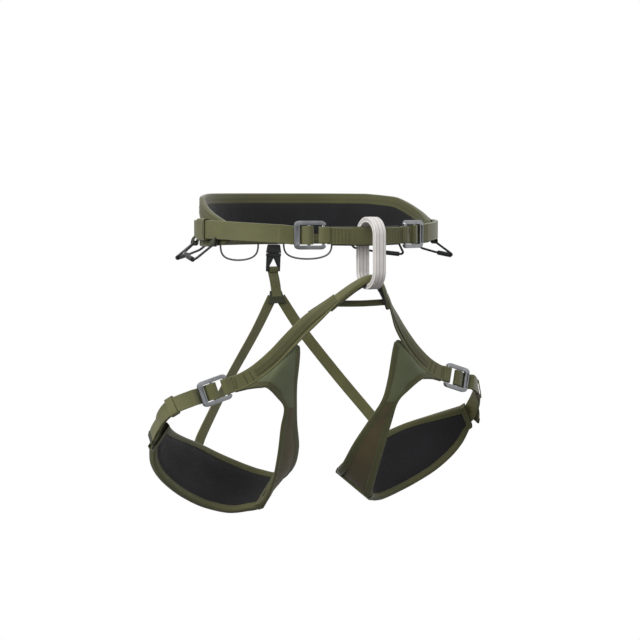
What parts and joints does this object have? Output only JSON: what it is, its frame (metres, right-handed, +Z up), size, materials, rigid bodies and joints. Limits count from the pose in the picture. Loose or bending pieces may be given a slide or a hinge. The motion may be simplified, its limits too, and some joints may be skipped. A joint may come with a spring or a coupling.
{
  "type": "climbing sit harness",
  "caption": "Padded sit harness for climbing: waist belt, sewn belay loop, adjustable leg loops on a tie-in arch, gear loops and rear risers with a release clip.",
  "frame": {"origin": "centre of the waist ring at the height of the belt webbing", "axes": "+Z up, the wearer faces -Y, +X to the wearer's left"},
  "size_m": [0.4926, 0.2858, 0.414],
  "materials": {
    "foam": "closed-cell foam, sealed inside the pads",
    "black_mesh": "matt black spacer mesh",
    "olive_shell": "olive woven shell",
    "brown_panel": "brown-olive woven panel",
    "olive_laminate": "smooth grey-olive laminate",
    "olive_binding": "ribbed olive edge tape",
    "pale_webbing": "pale grey sewn webbing",
    "buckle_aluminium": "satin forged aluminium",
    "black_plastic": "satin black nylon",
    "grey_cord": "thin grey sheathed cord",
    "black_webbing": "matt black webbing",
    "dark_olive_webbing": "dark olive elastic",
    "olive_webbing": "olive flat webbing"
  },
  "bodies": {
    "waist": {"waist_lining": "black_mesh", "waist_foam": "foam", "waist_shell": "olive_shell", "waist_binding": "olive_binding", "waist_webbing": "olive_webbing", "tie_in_webbing": "olive_webbing", "tie_in_guard": "black_webbing", "clip_socket": "black_plastic", "clip_tab": "black_webbing", "gear_anchors": "black_webbing"},
    "belay_loop": {"belay_loop": "pale_webbing"},
    "leg_loops": {"tie_in_arch": "olive_webbing", "arch_guard": "black_webbing", "bridge_strap": "olive_webbing", "clip_tongue": "black_plastic", "riser_strap": "olive_webbing", "leg_lining_left": "black_mesh", "leg_foam_left": "foam", "leg_shell_left": "olive_shell", "leg_inner_panel_left": "brown_panel", "leg_front_panel_left": "olive_laminate", "leg_upper_tape_left": "olive_binding", "leg_lower_tape_left": "olive_binding", "front_strap_left": "olive_webbing", "leg_adjust_strap_left": "olive_webbing", "riser_left": "olive_webbing", "leg_lining_right": "black_mesh", "leg_foam_right": "foam", "leg_shell_right": "olive_shell", "leg_inner_panel_right": "brown_panel", "leg_front_panel_right": "olive_laminate", "leg_upper_tape_right": "olive_binding", "leg_lower_tape_right": "olive_binding", "front_strap_right": "olive_webbing", "leg_adjust_strap_right": "olive_webbing", "riser_right": "olive_webbing"},
    "side_gear_loop_left": {"side_loop_left": "black_plastic", "side_sleeve_left": "black_plastic"},
    "side_gear_loop_right": {"side_loop_right": "black_plastic", "side_sleeve_right": "black_plastic"},
    "rear_gear_loop_left": {"rear_loop_left": "black_plastic", "rear_sleeve_left": "black_plastic"},
    "rear_gear_loop_right": {"rear_loop_right": "black_plastic", "rear_sleeve_right": "black_plastic"},
    "cord_gear_loop_left": {"cord_loop_left": "grey_cord"},
    "cord_gear_loop_right": {"cord_loop_right": "grey_cord"},
    "waist_buckle_left": {"waist_buckle_left": "buckle_aluminium", "waist_fold_left": "olive_webbing"},
    "waist_buckle_right": {"waist_buckle_right": "buckle_aluminium", "waist_fold_right": "olive_webbing"},
    "leg_buckle_left": {"leg_buckle_left": "buckle_aluminium", "leg_fold_left": "olive_webbing"},
    "leg_buckle_right": {"leg_buckle_right": "buckle_aluminium", "leg_fold_right": "olive_webbing"},
    "waist_keeper_left": {"waist_keeper_left": "dark_olive_webbing"},
    "waist_keeper_right": {"waist_keeper_right": "dark_olive_webbing"},
    "leg_keeper_left": {"leg_keeper_left": "dark_olive_webbing"},
    "leg_keeper_right": {"leg_keeper_right": "dark_olive_webbing"}
  },
  "joints": [
    {"name": "belay_swing", "type": "hinge", "parent": "waist", "child": "belay_loop", "pos_m": [0, -0.1333, 0], "axis": [0, 0, 1], "range_deg": [-10, 10]},
    {"name": "leg_loops_drop", "type": "hinge", "parent": "waist", "child": "leg_loops", "pos_m": [0, -0.1333, -0.0525], "axis": [-1, 0, 0], "range_deg": [0, 20]},
    {"name": "side_gear_loop_left_swing", "type": "hinge", "parent": "waist", "child": "side_gear_loop_left", "pos_m": [0.16309, 0.00217, -0.0115], "axis": [0.0229, -0.9997, 0], "range_deg": [-12, 25], "stiffness_Nm_per_rad": 0.08},
    {"name": "side_gear_loop_right_swing", "type": "hinge", "parent": "waist", "child": "side_gear_loop_right", "pos_m": [-0.16309, 0.00217, -0.0115], "axis": [0.0229, 0.9997, 0], "range_deg": [-12, 25], "stiffness_Nm_per_rad": 0.08},
    {"name": "rear_gear_loop_left_swing", "type": "hinge", "parent": "waist", "child": "rear_gear_loop_left", "pos_m": [0.12972, 0.07439, -0.0115], "axis": [0.7036, -0.7106, 0], "range_deg": [-12, 25], "stiffness_Nm_per_rad": 0.08},
    {"name": "rear_gear_loop_right_swing", "type": "hinge", "parent": "waist", "child": "rear_gear_loop_right", "pos_m": [-0.12972, 0.07439, -0.0115], "axis": [0.7036, 0.7106, 0], "range_deg": [-12, 25], "stiffness_Nm_per_rad": 0.08},
    {"name": "cord_gear_loop_left_swing", "type": "hinge", "parent": "waist", "child": "cord_gear_loop_left", "pos_m": [0.05258, 0.11789, -0.0115], "axis": [0.9682, -0.2501, 0], "range_deg": [0, 60]},
    {"name": "cord_gear_loop_right_swing", "type": "hinge", "parent": "waist", "child": "cord_gear_loop_right", "pos_m": [-0.05258, 0.11789, -0.0115], "axis": [0.9682, 0.2501, 0], "range_deg": [0, 60]},
    {"name": "waist_buckle_left_tilt", "type": "hinge", "parent": "waist", "child": "waist_buckle_left", "pos_m": [0.0597, -0.11819, -0.00035], "axis": [0, 0, -1], "range_deg": [0, 15]},
    {"name": "waist_buckle_right_tilt", "type": "hinge", "parent": "waist", "child": "waist_buckle_right", "pos_m": [-0.0597, -0.11819, -0.00035], "axis": [0, 0, 1], "range_deg": [0, 15]},
    {"name": "leg_buckle_left_tilt", "type": "hinge", "parent": "leg_loops", "child": "leg_buckle_left", "pos_m": [0.164, -0.059, -0.1875], "axis": [-0.2757, -0.1491, -0.9496], "range_deg": [0, 15]},
    {"name": "leg_buckle_right_tilt", "type": "hinge", "parent": "leg_loops", "child": "leg_buckle_right", "pos_m": [-0.164, -0.059, -0.1875], "axis": [-0.2757, 0.1491, 0.9496], "range_deg": [0, 15]},
    {"name": "waist_keeper_left_slide", "type": "slide", "parent": "waist", "child": "waist_keeper_left", "axis": [-0.023, 0.9997, 0], "range_m": [-0.003, 0.003]},
    {"name": "waist_keeper_right_slide", "type": "slide", "parent": "waist", "child": "waist_keeper_right", "axis": [0.023, 0.9997, 0], "range_m": [-0.003, 0.003]},
    {"name": "leg_keeper_left_slide", "type": "slide", "parent": "leg_loops", "child": "leg_keeper_left", "axis": [0.4994, 0.7133, -0.4918], "range_m": [-0.0015, 0.004]},
    {"name": "leg_keeper_right_slide", "type": "slide", "parent": "leg_loops", "child": "leg_keeper_right", "axis": [-0.4994, 0.7133, -0.4918], "range_m": [-0.0015, 0.004]}
  ]
}
